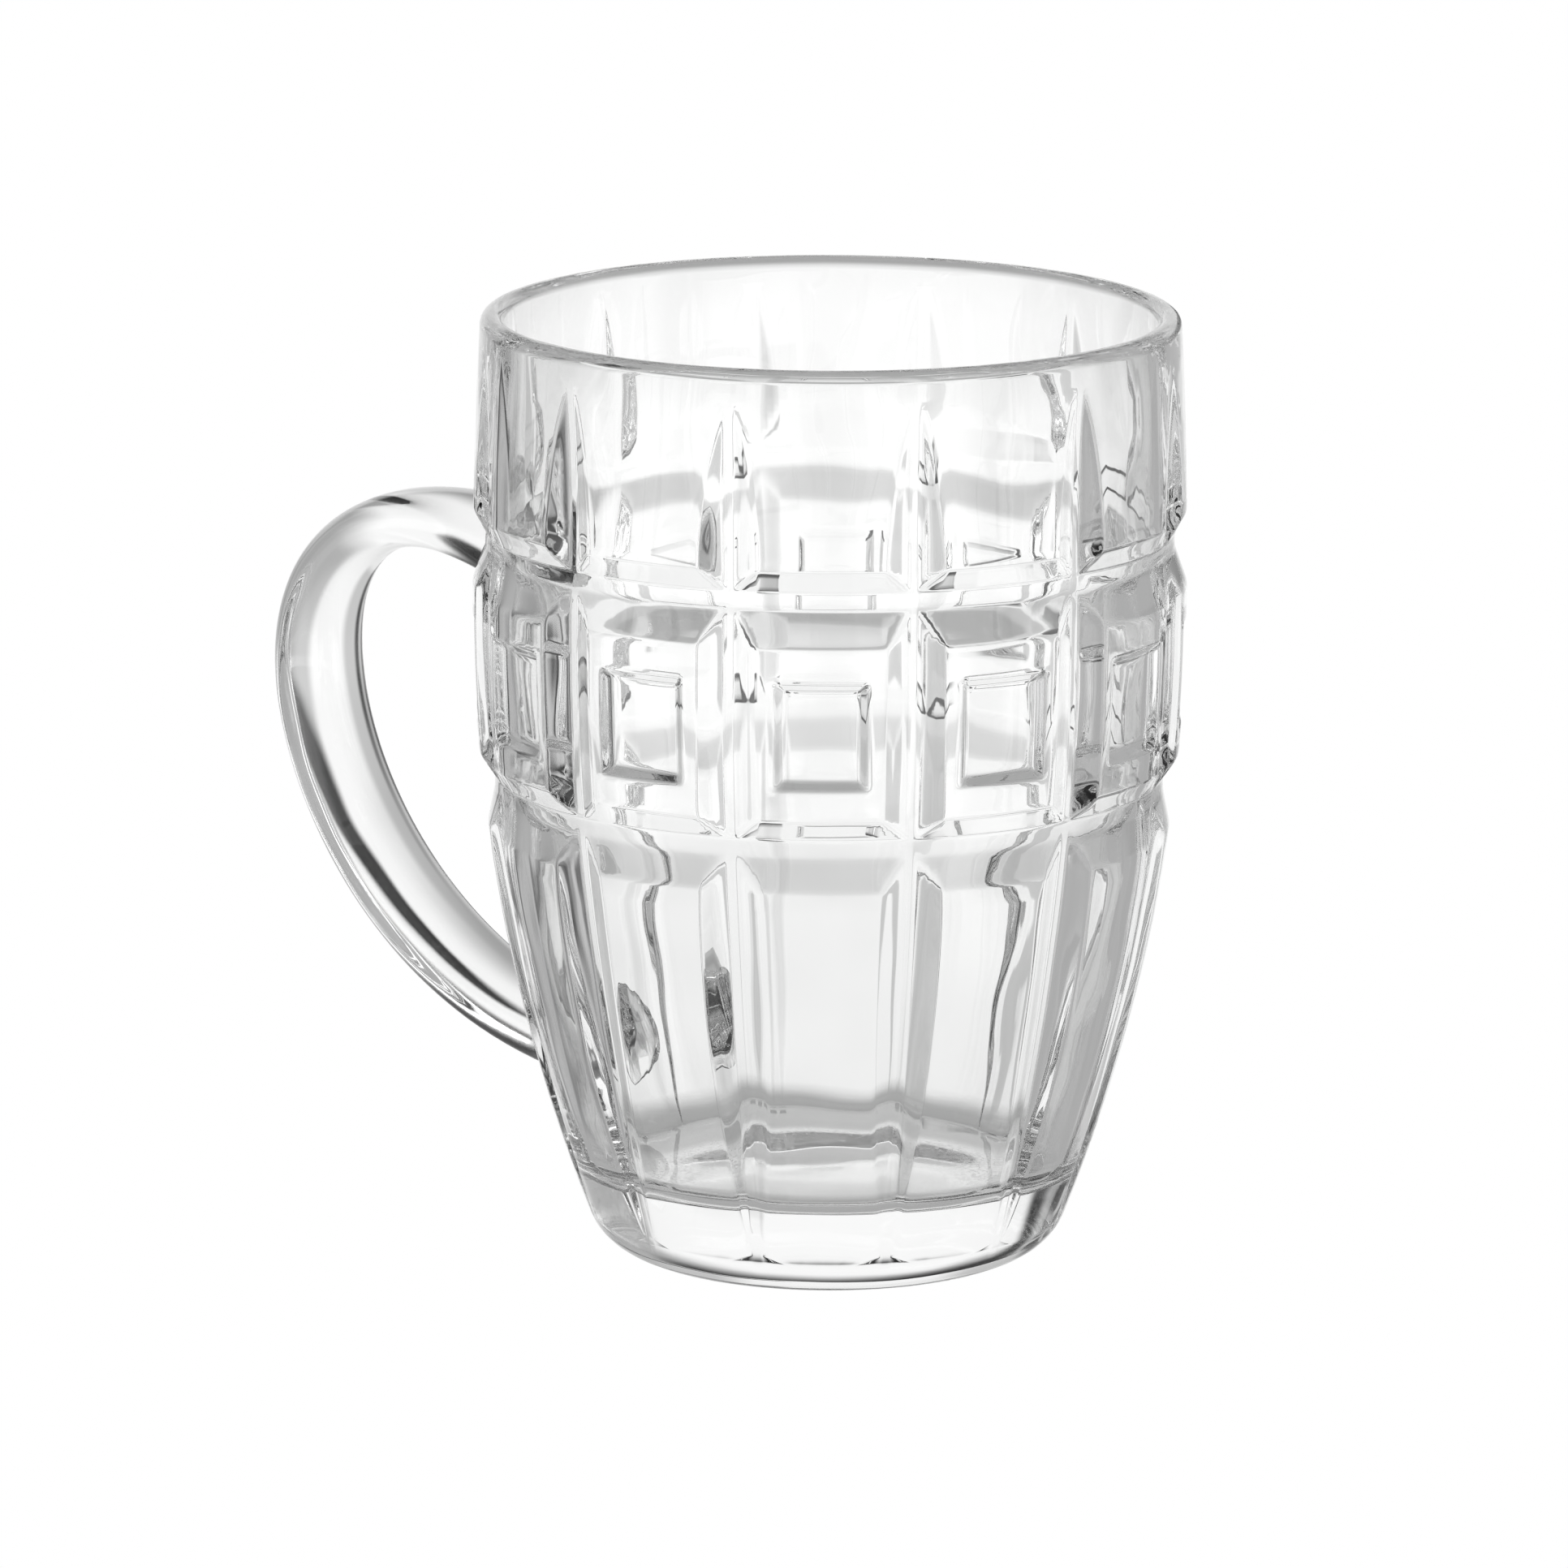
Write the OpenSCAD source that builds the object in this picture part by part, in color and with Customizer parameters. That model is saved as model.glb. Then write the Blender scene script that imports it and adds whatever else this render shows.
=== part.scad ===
// Dimpled pressed-glass beer mug: a bowl with a grid of bevelled panels, and the handle fused to it.
// Millimetres, +Z up. The origin is the centre of the foot, on the table. The handle points along -X.

/* [Bowl] */
// Height from the table to the top of the rim
bowl_h = 130; // [122:1:145]
// Outside diameter across the belly, the widest place
belly_d = 97.2; // [95.6:0.2:104]
// Height of the belly above the table
belly_z = 90; // [82:1:94]
// Outside diameter at the rim
rim_d = 94.9; // [88:0.1:96.4]
// Diameter that the wall's curve would reach at the table
foot_d = 61.4; // [56:0.2:72]
// Thickness of the rounded lip
lip_t = 3.3; // [2.4:0.1:4]
// Thickness of the wall below the belly, from the panels to the cavity
wall_t = 5; // [4.2:0.1:6]
// Thickness of the solid glass under the cavity
base_t = 12.5; // [8:0.5:16]
// Radius where the cavity's wall turns into its floor
cavity_fillet_r = 9; // [5:0.5:12]
// Radius of the rounded heel between the wall and the underside
heel_r = 8; // [5:0.5:9]
// Width of the flat ring that stands on the table
foot_ring_w = 3.2; // [2:0.1:6]
// Depth of the shallow hollow inside that ring
hollow_depth = 1.5; // [0.8:0.1:2.5]

/* [Grooves] */
// Number of panels round the bowl
columns = 12; // [10:2:14]
// Height of the middle of the upper groove that runs round the bowl
upper_ring_z = 99.2; // [96:0.1:103]
// Height of the middle of the lower one
lower_ring_z = 65.5; // [62:0.1:69]
// Depth of both ring grooves
ring_depth = 1.7; // [1.6:0.1:2.4]
// Height of their flat floor
ring_floor = 2.3; // [1.6:0.1:3.2]
// Height of the bevel above that floor
ring_bevel_up = 3; // [2:0.1:4]
// Height of the bevel below it
ring_bevel_down = 4.9; // [3:0.1:6]
// Depth of the upright grooves, no more than that of the ring grooves
column_depth = 1.6; // [0.9:0.1:1.7]
// Width of their flat floor
column_floor = 1.4; // [0.8:0.1:2]
// Width of the bevel on each side of it
column_bevel = 3.5; // [2.4:0.1:4.2]
// Distance from the rim down to where the upright grooves run out
upper_tip_gap = 5; // [4:0.5:12]
// Distance from the table up to where they run out above the heel
lower_tip_gap = 6; // [5.5:0.5:12]

/* [Dimples] */
// Height of the middle of the dimples, which sit in the middle row of panels
dimple_z = 81.2; // [79:0.1:84]
// Width of a dimple
dimple_w = 12.7; // [9:0.1:14]
// Height of a dimple
dimple_h = 14.6; // [10:0.1:16]
// Depth of a dimple
dimple_depth = 1.3; // [0.6:0.1:1.8]
// Width that each of its sloping walls takes up
dimple_wall = 1.2; // [0.6:0.1:2]

/* [Handle] */
// Distance from the mug's axis to the middle of the handle where it is furthest out
handle_reach = 84; // [78:0.5:92]
// Height of that place
handle_out_z = 74; // [68:0.5:80]
// Height of the middle of the handle at its upper end
upper_root_z = 89.1; // [86:0.1:94]
// Height of the middle of the handle at its lower end
lower_root_z = 22.5; // [20:0.1:30]
// Width of the handle, square to its plane
handle_w = 14; // [11:0.5:18]
// Greatest thickness of the handle, in its plane
handle_t = 11; // [9:0.1:13]
// Radius of the round where the handle meets the wall
root_round = 2.5; // [1:0.1:3.5]

/* [Hidden] */
$fn = 96;

// Sides of the large circles that the walls are cut from
arc_sides = 720;
// One overrun serves every cut
over = 0.5;
glass = [0.87, 0.9, 0.92];
degrees = 180 / PI;

belly_r = belly_d / 2;
rim_r = rim_d / 2;
foot_r = foot_d / 2;
lip_r = lip_t / 2;
column_angle = 360 / columns;
handle_angle = 180;

// Other leg of a right-angled triangle
function leg(long, short) = sqrt(long * long - short * short);

// Radius of the arc that starts upright and falls in by drop over the height rise. Where drop is
// below zero the arc swings outwards, its centre lies outside, and its radius is below zero too.
function fall_radius(rise, drop) = (rise * rise + drop * drop) / (2 * drop);

// Distance from the axis at height z of such an arc about centre
function arc_x(centre, radius, z) = centre.x + sign(radius) * leg(radius, z - centre.y);

// The outer wall is two arcs that meet, upright, at the belly
lower_arc_r = fall_radius(belly_z, belly_r - foot_r);
upper_arc_r = fall_radius(bowl_h - belly_z, belly_r - rim_r);
lower_centre = [belly_r - lower_arc_r, belly_z];
upper_centre = [belly_r - upper_arc_r, belly_z];

// Radius of the outer wall at height z, before any groove
function wall_r(z) = z < belly_z
    ? arc_x(lower_centre, lower_arc_r, z)
    : arc_x(upper_centre, upper_arc_r, z);

// Direction square to it there
function wall_way(z) = z < belly_z
    ? ([wall_r(z), z] - lower_centre) / lower_arc_r
    : ([wall_r(z), z] - upper_centre) / upper_arc_r;

// The lip's circle touches the top plane and the upper arc
lip_z = bowl_h - lip_r;
lip_x = arc_x(upper_centre, upper_arc_r - lip_r, lip_z);
lip_join_z = belly_z + (lip_z - belly_z) * upper_arc_r / (upper_arc_r - lip_r);

// The heel's circle touches the table and the lower arc
heel_x = arc_x(lower_centre, lower_arc_r - heel_r, heel_r);
heel_join_z = belly_z - (belly_z - heel_r) * lower_arc_r / (lower_arc_r - heel_r);

// The cavity's wall keeps its distance from the lower arc, and its fillet touches wall and floor
cavity_arc_r = lower_arc_r - wall_t;
fillet_z = base_t + cavity_fillet_r;
fillet_x = arc_x(lower_centre, cavity_arc_r - cavity_fillet_r, fillet_z);
fillet_join_z = belly_z - (belly_z - fillet_z) * cavity_arc_r / (cavity_arc_r - cavity_fillet_r);

// Radius of the ball that presses the hollow
hollow_r = fall_radius(heel_x - foot_ring_w, hollow_depth);

// Rectangle of a half section, given by its edges so that neighbours share them exactly
module slab(in_x, out_x, low_z, high_z) {
    polygon([[in_x, low_z], [out_x, low_z], [out_x, high_z], [in_x, high_z]]);
}

module disc(centre, radius) {
    translate(centre) circle(r = abs(radius), $fn = arc_sides);
}

// Half section from the axis out to an arc, between two heights
module arc_band(centre, radius, low_z, high_z) {
    if (radius > 0) intersection() {
        slab(0, centre.x + radius + over, low_z, high_z);
        disc(centre, radius);
    }
    else difference() {
        slab(0, centre.x, low_z, high_z);
        disc(centre, radius);
    }
}

// Half section of the mug above the belly, without cavity or grooves
module upper_half() {
    arc_band(upper_centre, upper_arc_r, belly_z, lip_join_z);
    slab(0, lip_x, lip_join_z, bowl_h);
    intersection() {
        translate([lip_x, lip_z]) circle(r = lip_r);
        slab(lip_x, lip_x + lip_t, lip_join_z, bowl_h + over);
    }
}

// The same below the belly
module lower_half() {
    arc_band(lower_centre, lower_arc_r, heel_join_z, belly_z);
    slab(0, heel_x, 0, heel_join_z);
    intersection() {
        translate([heel_x, heel_r]) circle(r = heel_r);
        slab(heel_x, heel_x + heel_r + over, 0, heel_join_z);
    }
}

// Section of a ring groove: a flat floor, with the bevels above and below carried on past the wall
module ring_section(z) {
    low_z = z - ring_floor / 2;
    high_z = z + ring_floor / 2;
    low_r = wall_r(low_z - ring_bevel_down);
    high_r = wall_r(high_z + ring_bevel_up);
    floor_r = wall_r(z) - ring_depth;
    low_slope = ring_bevel_down / (low_r - floor_r);
    high_slope = ring_bevel_up / (high_r - floor_r);
    polygon([
        [floor_r, low_z],
        [low_r + over, low_z - ring_bevel_down - over * low_slope],
        [high_r + over, high_z + ring_bevel_up + over * high_slope],
        [floor_r, high_z],
    ]);
}

// Half section of the drinking cavity. Above the belly its wall runs straight to the lip.
module cavity_half() {
    arc_band(lower_centre, cavity_arc_r, fillet_join_z, belly_z);
    polygon([[0, belly_z], [belly_r - wall_t, belly_z], [lip_x - lip_r, lip_z], [0, lip_z]]);
    slab(0, fillet_x, base_t, fillet_join_z);
    intersection() {
        translate([fillet_x, fillet_z]) circle(r = cavity_fillet_r);
        slab(fillet_x, fillet_x + cavity_fillet_r + over, base_t, fillet_join_z);
    }
    difference() {
        slab(0, lip_x, lip_z, bowl_h + over);
        translate([lip_x, lip_z]) circle(r = lip_r);
    }
}

module ring_sections() {
    ring_section(upper_ring_z);
    ring_section(lower_ring_z);
}

// The outside of the mug as a solid of revolution: wall, ring grooves, lip and heel
module outer_form() {
    rotate_extrude() difference() {
        upper_half();
        ring_sections();
    }
    rotate_extrude() difference() {
        lower_half();
        ring_sections();
    }
}

// Centre and radius of the circle through three points of a half section
function circle_through(a, b, c) =
    let (
        area = a.x * (b.y - c.y) + b.x * (c.y - a.y) + c.x * (a.y - b.y),
        x = (a * a * (b.y - c.y) + b * b * (c.y - a.y) + c * c * (a.y - b.y)) / (2 * area),
        y = (a * a * (c.x - b.x) + b * b * (a.x - c.x) + c * c * (b.x - a.x)) / (2 * area)
    )
    [x, y, norm([a.x - x, a.y - y])];

// Point on an upright groove's floor, its depth being a share of the full one
function floor_point(z, share) = [wall_r(z) - column_depth * share, z];

// How far the wall falls away, because it is round, at the bevels' outer edges
column_edge = column_floor / 2 + column_bevel;
column_drop = belly_r - leg(belly_r, column_edge);

// A bevelled cutter swept along the arc through three floor points, and on past its ends
module groove_run(low, middle, high, low_over, high_over) {
    arc = circle_through(low, middle, high);
    radius = arc[2];
    side = sign(middle.x - arc.x);
    low_angle = asin((low.y - arc.y) / radius) - low_over / radius * degrees;
    high_angle = asin((high.y - arc.y) / radius) + high_over / radius * degrees;
    start = side > 0 ? low_angle : handle_angle - high_angle;
    reach = column_depth + over;
    spread = column_bevel / (column_depth - column_drop) * reach;
    translate([arc.x, 0, arc.y]) rotate([90, 0, 0]) rotate([0, 0, start])
        rotate_extrude(angle = high_angle - low_angle, $fn = arc_sides)
            polygon([
                [radius, -column_floor / 2],
                [radius + side * reach, -column_floor / 2 - spread],
                [radius + side * reach, column_floor / 2 + spread],
                [radius, column_floor / 2],
            ]);
}

// Depth of the upright grooves at the low end, middle and high end of each row
top_row_shares = [0.97, 0.8, 0];
middle_row_shares = [1, 1, 1];
bottom_row_shares = [0, 0.9, 1];

// One upright groove. Each row's run stops over a ring groove's floor, clear of the next one.
module column_groove() {
    stop = ring_floor / 4;
    rows = [
        [upper_ring_z + stop, bowl_h - upper_tip_gap, top_row_shares, 0, 4 * over],
        [lower_ring_z + stop, upper_ring_z - stop, middle_row_shares, 0, 0],
        [lower_tip_gap, lower_ring_z - stop, bottom_row_shares, 4 * over, 0],
    ];
    for (row = rows)
        groove_run(
            floor_point(row[0], row[2][0]),
            floor_point((row[0] + row[1]) / 2, row[2][1]),
            floor_point(row[1], row[2][2]),
            row[3],
            row[4]
        );
}

// A block that widens outwards on all four sides, at the place of the first panel's dimple
module dimple_block() {
    face_x = leg(wall_r(dimple_z), dimple_w / 2);
    inner_x = face_x - 2 * dimple_depth;
    outer_x = face_x + over;
    slope = dimple_wall / dimple_depth;
    in_w = dimple_w / 2 - 2 * dimple_wall;
    in_h = dimple_h / 2 - 2 * dimple_wall;
    out_w = dimple_w / 2 + slope * over;
    out_h = dimple_h / 2 + slope * over;
    intersection() {
        translate([0, 0, dimple_z - out_h]) linear_extrude(2 * out_h)
            polygon([[inner_x, -in_w], [outer_x, -out_w], [outer_x, out_w], [inner_x, in_w]]);
        translate([0, out_w, dimple_z]) rotate([90, 0, 0]) linear_extrude(2 * out_w)
            polygon([[inner_x, -in_h], [outer_x, -out_h], [outer_x, out_h], [inner_x, in_h]]);
    }
}

// One dimple in each panel but the handle's. Their floors follow the round of the wall.
module dimples() {
    low_z = dimple_z - dimple_h / 2;
    high_z = dimple_z + dimple_h / 2;
    difference() {
        for (i = [0 : columns - 1])
            if (i * column_angle != handle_angle) rotate([0, 0, i * column_angle]) dimple_block();
        rotate_extrude() {
            arc_band(lower_centre, lower_arc_r - dimple_depth, low_z, min(belly_z, high_z));
            if (high_z > belly_z)
                arc_band(upper_centre, upper_arc_r - dimple_depth, belly_z, high_z);
        }
    }
}

module bowl() {
    color(glass) difference() {
        outer_form();
        rotate_extrude() cavity_half();
        rotate_extrude() intersection() {
            disc([0, hollow_depth - hollow_r], hollow_r);
            slab(0, heel_x, 0, hollow_depth + over);
        }
        for (i = [0 : columns - 1]) rotate([0, 0, (i + 1 / 2) * column_angle]) column_groove();
        dimples();
    }
}

// The handle's middle line is two curves, each from a root inside the wall out to the place where
// the handle is furthest out. They meet there, upright.
upper_root = [belly_r - wall_t, upper_root_z];
outmost = [handle_reach, handle_out_z];
lower_root = [wall_r(lower_root_z) - wall_t, lower_root_z];

// Rise of the middle line as it leaves the wall, in degrees
upper_root_angle = 29.5;
lower_root_angle = 6.2;
// How far its root and its far end pull each curve along, as shares of the straight distance
upper_pull_shares = [0.555, 0.47];
lower_pull_shares = [0.455, 0.27];
// Thickness at even steps from the upper root round to the lower one, as shares of the greatest
thickness_shares = [1, 0.91, 0.76, 0.72, 0.76, 0.86, 0.97, 1, 1, 0.99, 0.96, 0.9, 0.83];
// Power of the section's outline: 2 is an ellipse, and a larger one is fuller at the corners
section_power = 2.3;
// Rings of points in each root's round, beyond it on each curve, and points on each ring
round_steps = 5;
curve_steps = 15;
ring_sides = 24;

upper_span = norm(outmost - upper_root);
lower_span = norm(outmost - lower_root);

function toward(angle) = [cos(angle), sin(angle)];

upper_curve = [
    upper_root,
    upper_root + upper_span * upper_pull_shares[0] * toward(upper_root_angle),
    outmost + [0, upper_span * upper_pull_shares[1]],
    outmost,
];
lower_curve = [
    lower_root,
    lower_root + lower_span * lower_pull_shares[0] * toward(lower_root_angle),
    outmost - [0, lower_span * lower_pull_shares[1]],
    outmost,
];

// Point on a cubic curve through its first and last points, pulled by the two between
function curve_point(c, t) =
    c[0] * (1 - t) ^ 3 + 3 * c[1] * (1 - t) ^ 2 * t + 3 * c[2] * (1 - t) * t ^ 2 + c[3] * t ^ 3;

// Direction of travel there
function curve_way(c, t) =
    let (way = (c[1] - c[0]) * (1 - t) ^ 2 + 2 * (c[2] - c[1]) * (1 - t) * t + (c[3] - c[2]) * t ^ 2)
    way / norm(way);

// Entry of an evenly spaced list at a place between 0 and 1, blended from its neighbours
function blend_at(list, place) =
    let (at = place * (len(list) - 1), i = min(floor(at), len(list) - 2))
    list[i] * (i + 1 - at) + list[i + 1] * (at - i);

// A sine or cosine drawn out to the section's power
function squared_off(value) = sign(value) * abs(value) ^ (2 / section_power);

// Places of the rings along a curve: one inside the wall, the round's at even angles, then even steps
function ring_places(c) =
    let (
        pace = 3 * (c[1].x - c[0].x),
        rounded = [
            for (k = [0 : round_steps])
                (wall_t + root_round * (1 - cos(90 * k / round_steps))) / pace
        ],
        free = rounded[round_steps]
    )
    [0, each rounded, for (k = [1 : curve_steps]) free + (1 - free) * k / curve_steps];

// One ring of the handle's skin. At the wall it swells into the round and lies flat against the
// wall, and a handle's thickness away it is square to the middle line. It faces along the line, or
// back where sense is -1. The place tells how far it is along the whole handle, from 0 to 1.
function handle_ring(c, t, place, sense) =
    let (
        centre = curve_point(c, t),
        along = curve_way(c, t),
        away = max(centre.x - wall_r(centre.y), 0),
        swell = root_round - leg(root_round, max(root_round - away, 0)),
        lean = max(1 - away / handle_t, 0),
        mixed = along * (1 - lean) + wall_way(centre.y) * lean,
        way = mixed / norm(mixed),
        half_t = handle_t / 2 * blend_at(thickness_shares, place) / (way * along) + swell,
        half_w = handle_w / 2 + swell
    )
    [
        for (k = [0 : ring_sides - 1])
            let (
                turn = k * 360 / ring_sides,
                out = half_t * squared_off(cos(turn)) * sense,
                across = half_w * squared_off(sin(turn))
            )
            [-centre.x + way.y * out, across, centre.y + way.x * out]
    ];

upper_places = ring_places(upper_curve);
lower_places = ring_places(lower_curve);
handle_rings = [
    for (t = upper_places) handle_ring(upper_curve, t, t / 2, 1),
    for (i = [len(lower_places) - 2 : -1 : 0])
        handle_ring(lower_curve, lower_places[i], 1 - lower_places[i] / 2, -1),
];

// Closed skin through the rings, as triangles
module loft(rings) {
    n = len(rings[0]);
    last = (len(rings) - 1) * n;
    sides = [
        for (i = [0 : len(rings) - 2], k = [0 : n - 1])
            let (a = i * n + k, b = i * n + (k + 1) % n)
            each [[a, a + n, b + n], [a, b + n, b]]
    ];
    first_cap = [for (k = [1 : n - 2]) [0, k, k + 1]];
    last_cap = [for (k = [1 : n - 2]) [last, last + k + 1, last + k]];
    polyhedron(points = [for (ring = rings) each ring], faces = concat(sides, first_cap, last_cap));
}

// The handle ends on the outside of the wall, and fills the ring groove and any bevel it crosses
module handle() {
    color(glass) difference() {
        loft(handle_rings);
        difference() {
            outer_form();
            for (side = [-1, 1]) rotate([0, 0, handle_angle + side * column_angle / 2]) column_groove();
        }
    }
}

bowl();
handle();
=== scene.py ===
"""Dressing of a dimpled pressed-glass beer mug: bowl, handle, glass, studio and camera."""

import logging
import math
from dataclasses import dataclass
from enum import Enum

import bmesh
import bpy
from mathutils import Matrix, Vector


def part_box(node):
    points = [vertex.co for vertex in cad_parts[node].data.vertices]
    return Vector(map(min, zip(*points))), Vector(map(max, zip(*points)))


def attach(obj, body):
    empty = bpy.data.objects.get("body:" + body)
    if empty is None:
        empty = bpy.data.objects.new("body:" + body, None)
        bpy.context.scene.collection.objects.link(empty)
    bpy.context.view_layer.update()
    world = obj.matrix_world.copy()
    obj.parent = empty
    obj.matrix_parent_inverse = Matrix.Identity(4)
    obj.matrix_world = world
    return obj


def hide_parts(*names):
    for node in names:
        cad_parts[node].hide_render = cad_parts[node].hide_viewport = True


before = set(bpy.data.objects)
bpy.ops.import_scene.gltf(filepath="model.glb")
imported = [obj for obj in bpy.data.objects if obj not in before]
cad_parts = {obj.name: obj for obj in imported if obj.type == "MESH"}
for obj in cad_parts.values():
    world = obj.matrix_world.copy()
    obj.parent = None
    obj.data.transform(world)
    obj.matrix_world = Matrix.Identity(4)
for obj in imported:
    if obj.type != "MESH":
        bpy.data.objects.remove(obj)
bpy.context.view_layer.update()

LOG = logging.getLogger("mug")
MM = 0.001
BODY = "root"
# Points that lie closer than this are merged, in a mesh in millimetres and in one in metres.
WELD_MM = 1e-5
WELD_M = 2e-8
# Share of a step by which a gap may be too long before it gets one more mesh line.
STEP_SLACK = 0.01
# Half a turn, in degrees.
HALF_TURN = 180.0
Socket = bpy.types.NodeSocket
Points = list[tuple[float, float]]


def soft_max(a: float, b: float, blend: float) -> float:
    """Larger of two values, with the corner where they cross rounded.

    Args:
        a: First value.
        b: Second value.
        blend: Difference between the two below which the rounding starts.

    Returns:
        The rounded maximum.
    """
    near = max(blend - abs(a - b), 0.0) / blend
    return max(a, b) + near * near * blend / 4


def soft_min(a: float, b: float, blend: float) -> float:
    """Smaller of two values, rounded in the same way."""
    return -soft_max(-a, -b, blend)


def spaced(creases: list[float], margin: float, longest: float) -> list[float]:
    """Positions for mesh lines: every crease with a line close on each side of it.

    Args:
        creases: Rising positions of the creases. The first and last get no line outside them.
        margin: Distance from a crease to the lines beside it.
        longest: Longest gap that stays undivided.

    Returns:
        The rising positions of all lines.
    """
    close = []
    for crease in creases:
        close += [crease - margin, crease, crease + margin]
    close = close[1:-1]
    lines = [close[0]]
    for low, high in zip(close, close[1:]):
        parts = max(1, math.ceil((high - low) / longest - STEP_SLACK))
        lines += [low + (high - low) * part / parts for part in range(1, parts + 1)]
    return lines


@dataclass(frozen=True)
class Arc:
    """Circle in the half section of the bowl, in millimetres."""

    x: float
    z: float
    radius: float

    def x_at(self, z: float) -> float:
        """Distance from the axis at a height, on the near side if the radius is negative."""
        side = math.copysign(1.0, self.radius)
        return self.x + side * math.sqrt(max(self.radius ** 2 - (z - self.z) ** 2, 0.0))

    def inset(self, depth: float) -> "Arc":
        """Arc that runs inside this one at a depth."""
        return Arc(self.x, self.z, self.radius - depth)

    def touch_z(self, inner: "Arc", z: float) -> float:
        """Height at which a round touches this arc, if its centre is at z on an inner arc."""
        return self.z + (z - self.z) * (self.radius / inner.radius)

    @classmethod
    def upright_at(cls, x: float, z: float, rise: float, drop: float) -> "Arc":
        """Arc that stands upright at a place and falls in by a given drop over a given rise.

        Args:
            x: Distance from the axis where it stands upright.
            z: Height of that place.
            rise: Height difference to its other end.
            drop: How far it has fallen in there.

        Returns:
            The arc.
        """
        radius = (rise * rise + drop * drop) / (2 * drop)
        return cls(x - radius, z, radius)

    @classmethod
    def through(cls, a: tuple, b: tuple, c: tuple) -> "Arc":
        """Arc through three points of the half section.

        Args:
            a: First point, as distance from the axis and height.
            b: Middle point.
            c: Last point.

        Returns:
            The arc, whose radius is negative where its centre lies outside the bowl's wall.
        """
        area = 2 * (a[0] * (b[1] - c[1]) + b[0] * (c[1] - a[1]) + c[0] * (a[1] - b[1]))
        squares = [p[0] ** 2 + p[1] ** 2 for p in (a, b, c)]
        x = squares[0] * (b[1] - c[1]) + squares[1] * (c[1] - a[1]) + squares[2] * (a[1] - b[1])
        z = squares[0] * (c[0] - b[0]) + squares[1] * (a[0] - c[0]) + squares[2] * (b[0] - a[0])
        centre_x = x / area
        centre_z = z / area
        radius = math.hypot(b[0] - centre_x, b[1] - centre_z)
        return cls(centre_x, centre_z, math.copysign(radius, b[0] - centre_x))


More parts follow.
